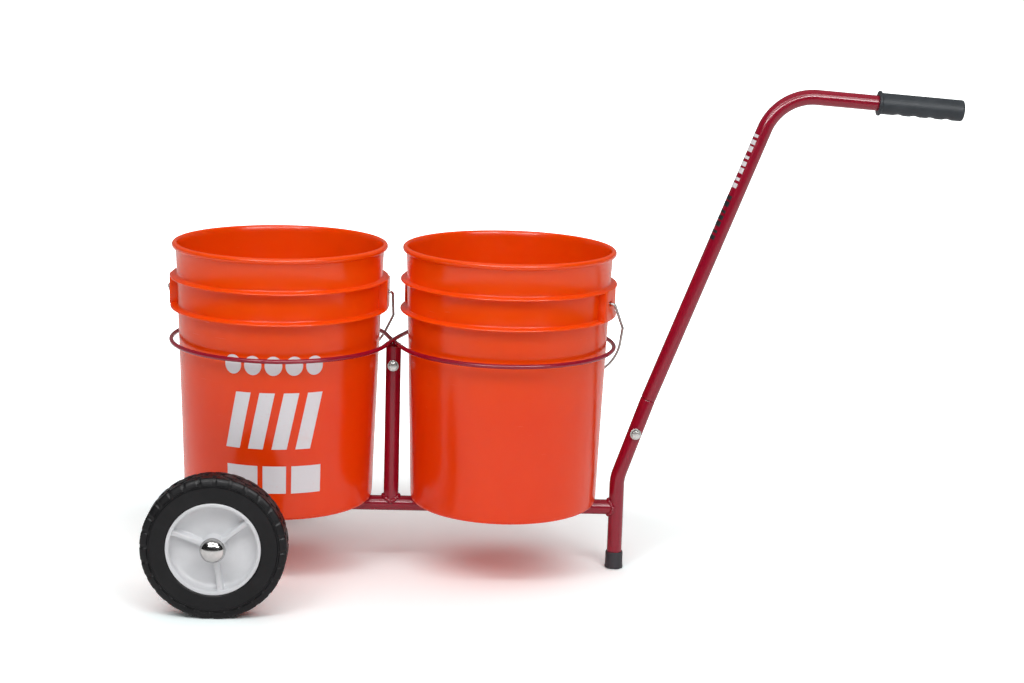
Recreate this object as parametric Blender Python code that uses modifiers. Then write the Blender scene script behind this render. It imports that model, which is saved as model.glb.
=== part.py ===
"""A two-bucket wash cart: welded tube frame, two wheels, two bail buckets, bolted-on draw handle."""

import math

import bmesh
import bpy
from mathutils import Matrix, Vector

# Driving dimensions, in metres. +X runs from the wheels to the handle, +Z is up, the floor is z = 0.
POST_X = -0.2343  # centre post, midway between the buckets
GAP = 0.0003  # left between pieces that touch

TUBE_R, TUBE_WALL = 0.0108, 0.0018
SPINE_Z = 0.0908
AXLE_X, AXLE_Z, AXLE_R = POST_X - 0.2265, 0.0972, 0.00475
LEG_X = POST_X + 0.3264
POST_TOP = 0.3235
FOOT_R, FOOT_H, FOOT_SOLE = 0.0127, 0.0250, 0.0040

STUB_LEAN, HANDLE_LEAN = math.radians(18.7), math.radians(20.55)  # from the vertical
HANDLE_DROOP = math.radians(3.7)  # of the grip end, below the horizontal
LEG_BEND_Z, LEG_BEND_R = 0.1350, 0.060
TOP_BEND_Z, TOP_BEND_R = 0.6953, 0.072
STUB_LEN = 0.1240  # along the stub, from the leg bend's corner
HANDLE_BOLT = 0.0722
SPIGOT_START, SPIGOT_REACH = 0.050, 0.045  # from that corner, and past the seam into the handle
GRIP_START, GRIP_END = 0.1391, 0.2600  # along the top run, from its corner
GRIP_CAP = 0.0070  # the sleeve's closed end
SCOOP_R, SCOOP_DEPTH, SCOOP_PITCH, SCOOP_FIRST = 0.0200, 0.0014, 0.0230, 0.0300
GRIP_R, GRIP_FLANGE_R = 0.0150, 0.0175

SPIGOT_R = TUBE_R - TUBE_WALL - GAP
BOLT_R, WASHER_R, WASHER_T, HEAD_R, HEAD_T = 0.0030, 0.0080, 0.0014, 0.0060, 0.0042

NUT_T = 0.0050

BUCKET_DX = 0.1615  # each bucket's axis from the post
BUCKET_Z, BUCKET_H = 0.1023, 0.3680
EAR_Z = 0.3010  # ear axis above the bucket's base
EAR_FACE, EAR_W = 0.1535, 0.040
AXLE_BUCKET_TURN, HANDLE_BUCKET_TURN = math.radians(-4), math.radians(-24)

BAIL_R, BAIL_REST = 0.0019, math.radians(42.2)  # rest angle below the horizontal, at the back
BAIL_REACH, BAIL_KNEE_X, BAIL_KNEE = 0.1595, 0.1565, 0.064  # the arm at the ear, and its knee
BAIL_HIP, BAIL_END = 0.106, 0.1465  # where the arm meets the bow, and its tip inside the ear
BAIL_A, BAIL_B = 0.1597, 0.2386  # half axes of the bail's bow
BAIL_GRIP_R, BAIL_GRIP_LEN = 0.0105, 0.086

HOOP_R, HOOP_ROD, HOOP_DX, HOOP_Z = 0.1535, 0.0031, 0.1600, 0.3310
HOOP_CROSS = 0.0035  # each rod's rise or fall where the two cross
HOOP_BOLT_Z = 0.2965

TYRE_R, TYRE_HALF = 0.0972, 0.0190
HUB_R, HUB_LIP_R, HUB_HALF = 0.0575, 0.0630, 0.0192
WHEEL_Y = 0.2295

OBJECT = bpy.data.collections.new("wash_cart")
CUTTERS = bpy.data.collections.new("cutters")


def start():
    for obj in list(bpy.data.objects):
        bpy.data.objects.remove(obj)
    bpy.context.scene.collection.children.link(OBJECT)
    bpy.context.scene.collection.children.link(CUTTERS)


def material(name, colour, roughness, metallic=0.0):
    made = bpy.data.materials.new(name)
    made.use_nodes = True
    shader = made.node_tree.nodes["Principled BSDF"]
    shader.inputs["Base Color"].default_value = (*colour, 1)
    shader.inputs["Roughness"].default_value = roughness
    shader.inputs["Metallic"].default_value = metallic
    made.diffuse_color = (*colour, 1)
    return made


def add(name, data, mat):
    """An object with this data: a part where it has a material, a cutter where it has none."""
    obj = bpy.data.objects.new(name, data)
    if mat is None:
        CUTTERS.objects.link(obj)
        obj.hide_render = True
        obj.display_type = "WIRE"
    else:
        OBJECT.objects.link(obj)
        data.materials.append(mat)
    return obj


def smooth(obj):
    obj.data.shade_smooth()
    obj.data.set_sharp_from_angle(angle=math.radians(35))
    return obj


def at(obj, x=0.0, y=0.0, z=0.0, turn=(0.0, 0.0, 0.0), parent=None):
    obj.location = (x, y, z)
    obj.rotation_euler = turn
    obj.parent = parent
    return obj


def empty(name, x, y, z, turn=(0.0, 0.0, 0.0), parent=None):
    obj = bpy.data.objects.new(name, None)
    OBJECT.objects.link(obj)
    return at(obj, x, y, z, turn, parent)


def cylinder(name, radius, low, high, mat=None, sides=24):
    """A cylinder on the object's own Z axis, from low to high."""
    mesh = bpy.data.meshes.new(name)
    bm = bmesh.new()
    bmesh.ops.create_cone(
        bm, cap_ends=True, segments=sides, radius1=radius, radius2=radius, depth=high - low,
        matrix=Matrix.Translation((0, 0, (low + high) / 2)),
    )
    bm.to_mesh(mesh)
    bm.free()
    return smooth(add(name, mesh, mat))


def box(name, low, high, mat=None):
    mesh = bpy.data.meshes.new(name)
    bm = bmesh.new()
    low, high = Vector(low), Vector(high)
    size = Matrix.Diagonal((*(high - low), 1.0))
    bmesh.ops.create_cube(bm, size=1.0, matrix=Matrix.Translation((low + high) / 2) @ size)
    bm.to_mesh(mesh)
    bm.free()
    return add(name, mesh, mat)


def turned(name, profile, mat, steps=48):
    """The (radius, height) profile turned about Z. It runs down the outer side and back up the inner."""
    mesh = bpy.data.meshes.new(name)
    bm = bmesh.new()
    points = [bm.verts.new((r, 0, z)) for r, z in profile]
    on_axis = profile[0][0] == 0 and profile[-1][0] == 0
    for a, b in zip(points, points[1:] if on_axis else points[1:] + points[:1]):
        bm.edges.new((a, b))
    bm.to_mesh(mesh)
    bm.free()
    obj = add(name, mesh, mat)
    screw = obj.modifiers.new("turn", "SCREW")
    screw.axis = "Z"
    screw.steps = screw.render_steps = steps
    screw.use_merge_vertices = True
    screw.merge_threshold = 0.0001
    screw.use_smooth_shade = True
    return obj


def boolean(obj, operation, *others):
    for other in others:
        modifier = obj.modifiers.new(operation.lower(), "BOOLEAN")
        modifier.operation = operation
        modifier.solver = "EXACT"
        modifier.object = other
    return obj


def cut(obj, *cutters):
    return boolean(obj, "DIFFERENCE", *cutters)


def join(obj, *others):
    return boolean(obj, "UNION", *others)


def filleted(corners, steps=8):
    """The path through (point, radius) corners with each corner rounded to its radius."""
    path = [Vector(corners[0][0])]
    for (before, _), (corner, radius), (after, _) in zip(corners, corners[1:], corners[2:]):
        corner = Vector(corner)
        back = (Vector(before) - corner).normalized()
        on = (Vector(after) - corner).normalized()
        half = back.angle(on) / 2
        centre = corner + (back + on).normalized() * radius / math.sin(half)
        first = corner + back * radius / math.tan(half)
        last = corner + on * radius / math.tan(half)
        for i in range(steps + 1):
            path.append(centre + (first - centre).slerp(last - centre, i / steps) * radius)
    path.append(Vector(corners[-1][0]))
    return path


def rod(name, path, radius, mat=None, resolution=2, cyclic=False):
    """A round rod along the path, as a mesh with welded caps."""
    data = bpy.data.curves.new(name + "_path", "CURVE")
    data.dimensions = "3D"
    data.bevel_depth = radius
    data.bevel_resolution = resolution
    data.use_fill_caps = not cyclic
    data.twist_mode = "Z_UP" if cyclic else "MINIMUM"
    spline = data.splines.new("POLY")
    spline.points.add(len(path) - 1)
    for point, where in zip(spline.points, path):
        point.co = (*where, 1)
    spline.use_cyclic_u = cyclic
    guide = bpy.data.objects.new(name + "_path", data)
    CUTTERS.objects.link(guide)
    bpy.context.view_layer.update()
    found = guide.evaluated_get(bpy.context.evaluated_depsgraph_get())
    mesh = bpy.data.meshes.new_from_object(found)
    mesh.name = name
    bm = bmesh.new()
    bm.from_mesh(mesh)
    bmesh.ops.remove_doubles(bm, verts=bm.verts, dist=1e-6)
    bmesh.ops.recalc_face_normals(bm, faces=bm.faces)
    bm.to_mesh(mesh)
    bm.free()
    bpy.data.objects.remove(guide)
    return smooth(add(name, mesh, mat))


def stretched(path, by):
    """The path with both ends carried on by this length."""
    first = path[0] + (path[0] - path[1]).normalized() * by
    last = path[-1] + (path[-1] - path[-2]).normalized() * by
    return [first, *path[1:-1], last]


def tube(name, path, mat):
    bore = rod(name + "_bore", stretched(path, 0.004), TUBE_R - TUBE_WALL, None, 6)
    return cut(rod(name, path, TUBE_R, mat, 6), bore)


def bolt_set(prefix, x, z, mat, lean=0.0):
    """A hex bolt, washer and nut across the frame in Y, and the cutter for their hole."""
    turn = (math.radians(90), 0, 0)  # local +Z points to -Y, the head's side
    axis = empty(prefix + "_bolt_axis", x, 0, z, (0, lean, 0))
    face = TUBE_R + GAP
    shank = cylinder(prefix + "_bolt_shank", BOLT_R, -0.0190, face + WASHER_T + 0.001, None, 16)
    head = cylinder(
        prefix + "_bolt", HEAD_R, face + WASHER_T + GAP, face + WASHER_T + GAP + HEAD_T, mat, 6
    )
    at(join(head, at(shank, turn=turn, parent=axis)), turn=turn, parent=axis)
    washer = cylinder(prefix + "_washer", WASHER_R, face, face + WASHER_T, mat, 24)
    hole = cylinder(prefix + "_bolt_hole", BOLT_R + GAP, -0.030, 0.030, None, 16)
    at(hole, turn=turn, parent=axis)
    at(cut(washer, hole), turn=turn, parent=axis)
    nut = cylinder(prefix + "_nut", HEAD_R, -face - NUT_T, -face, mat, 6)
    at(cut(nut, hole), turn=turn, parent=axis)
    return hole


def build_frame(red, steel, rubber):
    lie = (0, math.radians(90), 0)  # local +Z points to +X

    axle = cylinder("axle_rod", AXLE_R, -0.2590, 0.2590, steel)
    at(axle, AXLE_X, 0, AXLE_Z, (math.radians(90), 0, 0))
    saddle = cylinder("axle_saddle", AXLE_R + GAP, -0.03, 0.03)
    at(saddle, AXLE_X, 0, AXLE_Z, (math.radians(90), 0, 0))
    notch = box("saddle_mouth", (-AXLE_R - GAP, -0.03, 0), (AXLE_R + GAP, 0.03, 0.03))
    at(notch, AXLE_X, 0, AXLE_Z)

    length = LEG_X - AXLE_X
    spine = cylinder("spine_tube", TUBE_R, -0.014, length, red)
    at(spine, AXLE_X, 0, SPINE_Z, lie)
    spine_bore = cylinder("spine_bore", TUBE_R - TUBE_WALL, -0.03, length + 0.03)
    at(spine_bore, AXLE_X, 0, SPINE_Z, lie)
    leg_cope = at(cylinder("leg_cope", TUBE_R + GAP, 0.02, 0.16), LEG_X, 0, 0)
    cut(spine, spine_bore, saddle, notch, leg_cope)

    post = cylinder("centre_post", TUBE_R, SPINE_Z, POST_TOP, red)
    post_bore = cylinder("post_bore", TUBE_R - TUBE_WALL, SPINE_Z - 0.02, POST_TOP + 0.02)
    spine_cope = cylinder("spine_cope", TUBE_R + GAP, -0.1, 0.1)
    at(spine_cope, POST_X, 0, SPINE_Z, lie)
    hoop_hole = bolt_set("hoop", POST_X, HOOP_BOLT_Z, steel)
    cut(at(post, POST_X), at(post_bore, POST_X), spine_cope, hoop_hole)

    plug = cylinder("hoop_plug", SPIGOT_R, HOOP_BOLT_Z - 0.030, POST_TOP + 0.0004, red)
    plug_bore = cylinder("hoop_plug_bore", SPIGOT_R - TUBE_WALL, HOOP_BOLT_Z - 0.05, POST_TOP - 0.003)
    cut(at(plug, POST_X), at(plug_bore, POST_X), hoop_hole)
    at(rod("hoop_rod", hoop_path(), HOOP_ROD, red, 2, True), POST_X, 0, HOOP_Z)

    build_leg_and_handle(red, steel, rubber)


def build_leg_and_handle(red, steel, rubber):
    # The leg stands on its foot cap and bends into the stub that takes the handle.
    stub = Vector((math.sin(STUB_LEAN), 0, math.cos(STUB_LEAN)))
    slope = Vector((math.sin(HANDLE_LEAN), 0, math.cos(HANDLE_LEAN)))
    corner = Vector((LEG_X, 0, LEG_BEND_Z))
    seam = corner + stub * STUB_LEN
    leg_path = filleted([((LEG_X, 0, FOOT_SOLE + GAP), 0), (corner, LEG_BEND_R), (seam, 0)], 6)
    bolt = corner + stub * HANDLE_BOLT
    handle_hole = bolt_set("handle", bolt.x, bolt.z, steel, STUB_LEAN)
    cut(tube("leg_tube", leg_path, red), handle_hole)

    foot = [
        (0, FOOT_SOLE), (TUBE_R + GAP, FOOT_SOLE), (TUBE_R + GAP, FOOT_H),
        (FOOT_R - 0.0012, FOOT_H), (FOOT_R - 0.0003, FOOT_H - 0.0012), (FOOT_R, 0.0100),
        (FOOT_R + 0.0006, 0.0016), (FOOT_R - 0.0008, 0), (0, 0),
    ]
    at(turned("foot_cap", foot, rubber, 24), LEG_X)

    spigot_path = [corner + stub * SPIGOT_START, seam, seam + slope * SPIGOT_REACH]
    spigot = rod("handle_spigot", spigot_path, SPIGOT_R, steel, 6)
    spigot_bore = rod("handle_spigot_bore", stretched(spigot_path, 0.004), SPIGOT_R - 0.0018, None, 6)
    cut(spigot, spigot_bore, handle_hole)

    # The handle leans a little further than the stub, then bends forward to the grip.
    top = seam + slope * ((TOP_BEND_Z - seam.z) / math.cos(HANDLE_LEAN))
    run = Vector((math.cos(HANDLE_DROOP), 0, -math.sin(HANDLE_DROOP)))
    first, last = seam + slope * 2 * GAP, top + run * (GRIP_END - GRIP_CAP - GAP)
    handle_path = filleted([(first, 0), (top, TOP_BEND_R), (last, 0)], 12)
    tube("handle_tube", handle_path, red)

    grip_axis = empty("grip_axis", *top, (0, math.radians(90) + HANDLE_DROOP, 0))
    bore = TUBE_R + GAP
    grip = [
        (0, GRIP_END), (GRIP_R - 0.0050, GRIP_END),
        (GRIP_R - 0.0012, GRIP_END - 0.0014), (GRIP_R, GRIP_END - 0.0050),
        (GRIP_R, GRIP_START + 0.0075), (GRIP_FLANGE_R - 0.0010, GRIP_START + 0.0055),
        (GRIP_FLANGE_R, GRIP_START + 0.0045), (GRIP_FLANGE_R, GRIP_START + 0.0012),
        (GRIP_FLANGE_R - 0.0012, GRIP_START), (bore, GRIP_START),
        (bore, GRIP_END - GRIP_CAP), (0, GRIP_END - GRIP_CAP),
    ]
    handle_grip = turned("handle_grip", grip, rubber, 24)
    for i in range(4):
        reach = GRIP_START + SCOOP_FIRST + SCOOP_PITCH * i
        scoop = cylinder(f"finger_scoop_{i + 1}", SCOOP_R, -0.03, 0.03, None, 48)
        turn = (math.radians(90), 0, 0)
        at(scoop, GRIP_R + SCOOP_R - SCOOP_DEPTH, 0, reach, turn, grip_axis)
        cut(handle_grip, scoop)
    at(handle_grip, parent=grip_axis)


def hoop_path():
    """One rod bent to a figure of eight that crosses itself on top of the post."""
    swing = math.acos(HOOP_R / HOOP_DX)
    path = []
    for side in (-1, 1):
        arc = []
        for i in range(31):
            angle = swing + (2 * math.pi - 2 * swing) * i / 30
            x, y = HOOP_R * math.cos(angle) - HOOP_DX, HOOP_R * math.sin(angle)
            arc.append(Vector((-side * x, y, 0)))
        path += [beside_crossing(arc[0], f, side) for f in (0.0, 0.28, 0.6)]
        path += arc
        path += [beside_crossing(arc[-1], f, -side) for f in (0.6, 0.28)]
    return path


def beside_crossing(tangent, share, rise):
    """A point this share of the way from the crossing to a hoop's tangent point."""
    return tangent * share + Vector((0, 0, rise * HOOP_CROSS * (1 - share ** 3)))


def build_wheel(side, steel, chrome, white, tyre_mat):
    """One wheel and its axle hardware. Its own +Z points outward along the axle."""
    word = "left" if side < 0 else "right"
    turn = (math.radians(90) * -side, 0, 0)
    place = dict(x=AXLE_X, z=AXLE_Z, turn=turn)
    bore = AXLE_R + GAP
    out = WHEEL_Y

    wheel = empty(f"wheel_{word}_axis", AXLE_X, side * out, AXLE_Z, turn)
    lip, half = HUB_LIP_R, HUB_HALF
    hub = turned(
        f"hub_{word}",
        [
            (lip, half), (lip, half - 0.0018), (HUB_R, half - 0.0030), (HUB_R, 0.0030 - half),
            (lip, 0.0018 - half), (lip, -half), (HUB_R - 0.0020, -half), (HUB_R - 0.0034, -0.0030),
            (0.0170, -0.0018), (0.0150, -half), (bore, -half), (bore, half), (0.0150, half),
            (0.0170, 0.0018), (HUB_R - 0.0034, 0.0030), (HUB_R - 0.0020, half),
        ],
        white, 32,
    )
    for i in range(3):
        angle = math.radians(39 + 120 * i)
        rib = box(f"hub_{word}_rib_{i + 1}", (0.0140, -0.0022, -0.0135), (0.0560, 0.0022, 0.0135))
        join(hub, at(rib, turn=(0, 0, angle), parent=wheel))
    at(hub, parent=wheel)

    r, w = TYRE_R, TYRE_HALF
    tyre = turned(
        f"tyre_{word}",
        [
            (HUB_R + 0.0004, half - 0.0034), (lip + 0.0006, half - 0.0022), (lip + 0.0012, w - 0.0004),
            (r - 0.0150, w), (r - 0.0060, w - 0.0016), (r, w - 0.0075),
            (r, 0.0075 - w), (r - 0.0060, 0.0016 - w), (r - 0.0150, -w),
            (lip + 0.0012, 0.0004 - w), (lip + 0.0006, 0.0022 - half), (HUB_R + 0.0004, 0.0034 - half),
        ],
        tyre_mat, 40,
    )
    at(tyre, parent=wheel)

    for name, radius, low, high in (
        (f"outer_washer_{word}", 0.0100, out + half + GAP, out + half + 0.0013),
        (f"inner_washer_{word}", 0.0110, out - half - 0.0013, out - half - GAP),
        (f"axle_collar_{word}", 0.0120, out - half - 0.0130, out - half - 0.0016),
    ):
        ring = turned(name, [(radius, high), (radius, low), (bore, low), (bore, high)], steel, 20)
        at(ring, **place)
    base, cap_r = out + half + 0.0016, 0.0172
    dome = [(cap_r * math.cos(a), base + 0.0030 + 0.0105 * math.sin(a)) for a in arc_steps(90, 0, 5)]
    dome[0] = (0, dome[0][1])
    cap = dome + [(cap_r, base), (bore, base), (bore, 0.2595), (0, 0.2595)]
    at(turned(f"axle_cap_{word}", cap, chrome, 24), **place)


def arc_steps(first, last, count):
    return [math.radians(first + (last - first) * i / count) for i in range(count + 1)]


def bucket_wall(z):
    """The outer radius of the tapered wall at this height above the base."""
    return 0.1336 + 0.0112 * (z - 0.0025) / 0.3375


def rib(low):
    """A collar rib's outline, from its top edge down; low is the height of its flat underside."""
    return [
        (bucket_wall(low), low + 0.0038), (0.1528, low + 0.0030), (0.1535, low + 0.0020),
        (0.1535, low), (bucket_wall(low), low),
    ]


def build_bucket(name, x, turn, plastic, wire, grip_mat):
    h = BUCKET_H
    outer = [
        (0.1450, h), (0.1492, h), (0.1506, h - 0.0012), (0.1510, h - 0.0030), (0.1510, h - 0.0076),
        (0.1502, h - 0.0086), (bucket_wall(h), h - 0.0086),
        *rib(0.3184), *rib(0.2762),
        (0.1336, 0.0025), (0.1318, 0), (0.1284, 0), (0.1276, 0.0008), (0.1270, 0.0050), (0, 0.0050),
    ]
    inner = [
        (0, 0.0076), (0.1280, 0.0076), (0.1308, 0.0105), (bucket_wall(0.20) - 0.0020, 0.20),
        (bucket_wall(h) - 0.0020, h - 0.0080), (0.1440, h - 0.0010),
    ]
    axis = empty(name + "_axis", x, 0, BUCKET_Z, (0, 0, turn))
    shell = turned(name, inner + outer, plastic, 40)
    within = at(cylinder(name + "_ear_back", 0.1424, 0.25, 0.35, None, 40), parent=axis)
    for i, hand in enumerate((-1, 1)):
        low = (min(hand * 0.135, hand * EAR_FACE), -EAR_W / 2, 0.2774)
        high = (max(hand * 0.135, hand * EAR_FACE), EAR_W / 2, 0.3200)
        ear = cut(box(f"{name}_ear_{i + 1}", low, high), within)
        join(shell, at(ear, parent=axis))
    for i, hand in enumerate((-1, 1)):
        hole = cylinder(f"{name}_ear_hole_{i + 1}", BAIL_R + 0.0005, BAIL_END - 0.0005, 0.17, None, 16)
        cut(shell, at(hole, z=EAR_Z, turn=(0, hand * math.radians(90), 0), parent=axis))
    at(shell, parent=axis)

    word = name.split("_")[0]
    pivot = empty(f"{word}_bail_pivot", 0, 0, EAR_Z, (-BAIL_REST, 0, 0), axis)
    at(rod(f"{word}_bail", bail_path(), BAIL_R, wire), parent=pivot)
    half = BAIL_GRIP_LEN / 2
    grip = turned(
        f"{word}_bail_grip",
        [
            (BAIL_GRIP_R - 0.0015, half), (BAIL_GRIP_R, half - 0.0015), (BAIL_GRIP_R, 0.0015 - half),
            (BAIL_GRIP_R - 0.0015, -half), (BAIL_R + GAP, -half), (BAIL_R + GAP, half),
        ],
        grip_mat, 20,
    )
    at(grip, 0, bail_bow(half + 0.003)[1], 0, (0, math.radians(90), 0), pivot)


def bail_bow(u):
    """The bow's point this far to the side of the middle."""
    return u, BAIL_B * math.sqrt(1 - (u / BAIL_A) ** 2)


def bail_path():
    """One bail in its own XY plane: X along the ears, Y out to the grip, straight through the grip."""
    first = math.acos((BAIL_GRIP_LEN / 2 + 0.003) / BAIL_A)
    last = math.asin(BAIL_HIP / BAIL_B)
    half = []
    for i in range(10):
        angle = first + (last - first) * i / 10
        half.append(Vector((BAIL_A * math.cos(angle), BAIL_B * math.sin(angle), 0)))
    half += filleted(
        [
            ((BAIL_A * math.cos(last), BAIL_HIP, 0), 0), ((BAIL_KNEE_X, BAIL_KNEE, 0), 0.008),
            ((BAIL_REACH, 0, 0), 0.005), ((BAIL_END, 0, 0), 0),
        ], 4,
    )
    return [Vector((-p.x, p.y, 0)) for p in reversed(half)] + half


def main():
    start()
    red = material("red_enamel", (0.230, 0.006, 0.022), 0.28)
    steel = material("zinc_steel", (0.520, 0.520, 0.500), 0.35, 1.0)
    chrome = material("cap_chrome", (0.620, 0.600, 0.560), 0.12, 1.0)
    rubber = material("grip_rubber", (0.020, 0.024, 0.032), 0.55)
    tyre_mat = material("tyre_rubber", (0.012, 0.013, 0.015), 0.60)
    white = material("hub_plastic", (0.740, 0.750, 0.760), 0.35)
    orange = material("bucket_plastic", (0.800, 0.085, 0.010), 0.38)
    wire = material("bail_wire", (0.380, 0.370, 0.350), 0.32, 1.0)
    bail_grip = material("bail_grip_plastic", (0.030, 0.030, 0.032), 0.45)

    build_frame(red, steel, rubber)
    for side in (-1, 1):
        build_wheel(side, steel, chrome, white, tyre_mat)
    build_bucket("axle_bucket", POST_X - BUCKET_DX, AXLE_BUCKET_TURN, orange, wire, bail_grip)
    build_bucket("handle_bucket", POST_X + BUCKET_DX, HANDLE_BUCKET_TURN, orange, wire, bail_grip)


main()
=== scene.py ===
"""Looks for the two-bucket wash cart: tubes and hoops, moulded buckets, treaded wheels, studio light."""

import math

import bmesh
import bpy
from mathutils import Matrix, Vector


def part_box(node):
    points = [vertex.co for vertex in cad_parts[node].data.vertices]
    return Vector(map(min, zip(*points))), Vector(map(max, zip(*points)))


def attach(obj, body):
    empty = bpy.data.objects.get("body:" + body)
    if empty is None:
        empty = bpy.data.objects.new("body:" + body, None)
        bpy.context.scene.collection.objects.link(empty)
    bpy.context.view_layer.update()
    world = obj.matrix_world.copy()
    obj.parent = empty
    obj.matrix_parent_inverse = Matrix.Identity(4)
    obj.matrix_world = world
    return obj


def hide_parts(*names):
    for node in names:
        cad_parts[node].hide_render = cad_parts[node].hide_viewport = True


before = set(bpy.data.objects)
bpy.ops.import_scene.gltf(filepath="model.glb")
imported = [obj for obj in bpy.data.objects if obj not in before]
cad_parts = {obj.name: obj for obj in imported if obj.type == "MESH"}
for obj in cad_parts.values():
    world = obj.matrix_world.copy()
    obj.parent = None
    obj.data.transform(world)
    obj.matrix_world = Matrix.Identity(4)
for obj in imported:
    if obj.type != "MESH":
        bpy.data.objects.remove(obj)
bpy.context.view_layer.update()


def middle(node):
    low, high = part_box(node)
    return (Vector(low) + Vector(high)) / 2


# Places, from the frame.
POST_X = middle("centre_post").x
SPINE_Z = middle("spine_tube").z
AXLE = middle("axle_rod")
LEG_X = middle("foot_cap").x
HOOP_Z = middle("hoop_rod").z
HOOP_BOLT = middle("hoop_bolt")
HANDLE_BOLT = middle("handle_bolt")
WHEEL_Y = middle("tyre_right").y
POST_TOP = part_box("centre_post")[1].z
BUCKET_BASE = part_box("axle_bucket")[0][2]
BUCKET_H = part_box("axle_bucket")[1][2] - BUCKET_BASE

# Sizes, in metres.
TUBE_R, TUBE_BORE = 0.0108, 0.0090
HOOP_R, HOOP_DX, HOOP_ROD, HOOP_CROSS = 0.1535, 0.1600, 0.0031, 0.0011
STUB_LEAN, HANDLE_LEAN, HANDLE_DROOP = math.radians(18.7), math.radians(20.55), math.radians(3.7)
LEG_CORNER, LEG_BEND, TOP_Z, TOP_BEND = Vector((LEG_X, 0, 0.1350)), 0.060, 0.6953, 0.072
STUB_LEN, SPIGOT_START, SPIGOT_REACH = 0.1240, 0.050, 0.045
STUB = Vector((math.sin(STUB_LEAN), 0, math.cos(STUB_LEAN)))
SLOPE = Vector((math.sin(HANDLE_LEAN), 0, math.cos(HANDLE_LEAN)))
RUN = Vector((math.cos(HANDLE_DROOP), 0, -math.sin(HANDLE_DROOP)))
SEAM = LEG_CORNER + STUB * STUB_LEN
TOP_CORNER = SEAM + SLOPE * ((TOP_Z - SEAM.z) / math.cos(HANDLE_LEAN))
GRIP_START, GRIP_END, GRIP_R, GRIP_FLANGE = 0.1391, 0.2600, 0.0150, 0.0175
SCOOP_FIRST, SCOOP_PITCH, SCOOP_HALF, SCOOP_DEPTH = 0.0300, 0.0230, 0.0075, 0.0014
EAR_Z, EAR_FACE, EAR_W = 0.3010, 0.1535, 0.040
TYRE_R, TYRE_HALF, HUB_LIP_R, HUB_HALF = 0.0972, 0.0190, 0.0630, 0.0192
AXLE_END = 0.2592
RIB_ANGLES = [math.radians(39 + 120 * i) for i in range(3)]
BAIL_R, BAIL_REACH, BAIL_KNEE_X, BAIL_KNEE = 0.0019, 0.1595, 0.1565, 0.064
BAIL_HIP, BAIL_END, BAIL_A, BAIL_B = 0.106, 0.1490, 0.1597, 0.2386
BAIL_REST, BAIL_GRIP_LEN = math.radians(42.2), 0.086
BUCKET_DX, AXLE_TURN, HANDLE_TURN = 0.1615, math.radians(-4), math.radians(-24)


# ---------------------------------------------------------------- mesh tools

def keep(name, bm, material, sharp=35):
    """Turns a bmesh into a smooth-shaded object."""
    bmesh.ops.recalc_face_normals(bm, faces=bm.faces)
    mesh = bpy.data.meshes.new(name)
    bm.to_mesh(mesh)
    bm.free()
    mesh.materials.append(material)
    mesh.shade_smooth()
    mesh.set_sharp_from_angle(angle=math.radians(sharp))
    obj = bpy.data.objects.new(name, mesh)
    bpy.context.scene.collection.objects.link(obj)
    return obj


def finish_piece(obj, body, slot, *nodes):
    """Rides the piece on its body and hides the CAD nodes it stands for."""
    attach(obj, body)
    if nodes:
        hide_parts(*nodes)
    return obj


def bridge(bm, rings, closed_rings=True, closed_path=False):
    """Quads between rings of vertices."""
    pairs = list(zip(rings, rings[1:]))
    if closed_path:
        pairs.append((rings[-1], rings[0]))
    for a, b in pairs:
        count = len(a)
        for i in range(count if closed_rings else count - 1):
            j = (i + 1) % count
            bm.faces.new((a[i], a[j], b[j], b[i]))


def lathe_into(bm, profile, sides, matrix=Matrix.Identity(4)):
    """A closed (radius, height) profile turned about the matrix's Z axis."""
    rings = []
    for k in range(sides):
        angle = 2 * math.pi * k / sides
        ring = []
        for r, z in profile:
            r = max(r, 1e-5)
            ring.append(bm.verts.new(matrix @ Vector((r * math.cos(angle), r * math.sin(angle), z))))
        rings.append(ring)
    bridge(bm, rings, True, True)


def lathe(name, profile, sides, material, matrix=Matrix.Identity(4), sharp=35):
    bm = bmesh.new()
    lathe_into(bm, profile, sides, matrix)
    return keep(name, bm, material, sharp)


def arc(cx, cy, radius, first, last, count):
    """Points on an arc in a profile, angles in degrees."""
    steps = [math.radians(first + (last - first) * i / count) for i in range(count + 1)]
    return [(cx + radius * math.cos(a), cy + radius * math.sin(a)) for a in steps]


def rounded(profile, radius, steps=4):
    """The closed 2-D outline with each corner rounded by up to this radius."""
    out = []
    count = len(profile)
    for i in range(count):
        before, corner, after = (Vector(profile[(i + d) % count]) for d in (-1, 0, 1))
        back, on = before - corner, after - corner
        half = back.angle(on, math.pi) / 2
        if half > math.radians(84):
            out.append(tuple(corner))
            continue
        reach = min(radius / math.tan(half), back.length * 0.45, on.length * 0.45)
        a, b = corner + back.normalized() * reach, corner + on.normalized() * reach
        for k in range(steps + 1):
            t = k / steps
            out.append(tuple(a * (1 - t) ** 2 + corner * 2 * t * (1 - t) + b * t ** 2))
    return out


def filleted(corners, steps=16):
    """The path through (point, radius) corners, each corner rounded to its radius."""
    path = [Vector(corners[0][0])]
    for (before, _), (corner, radius), (after, _) in zip(corners, corners[1:], corners[2:]):
        corner = Vector(corner)
        back, on = (Vector(before) - corner).normalized(), (Vector(after) - corner).normalized()
        half = back.angle(on) / 2
        centre = corner + (back + on).normalized() * radius / math.sin(half)
        first = corner + back * radius / math.tan(half) - centre
        last = corner + on * radius / math.tan(half) - centre
        path += [centre + first.slerp(last, i / steps) * radius for i in range(steps + 1)]
    path.append(Vector(corners[-1][0]))
    return path


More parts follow.
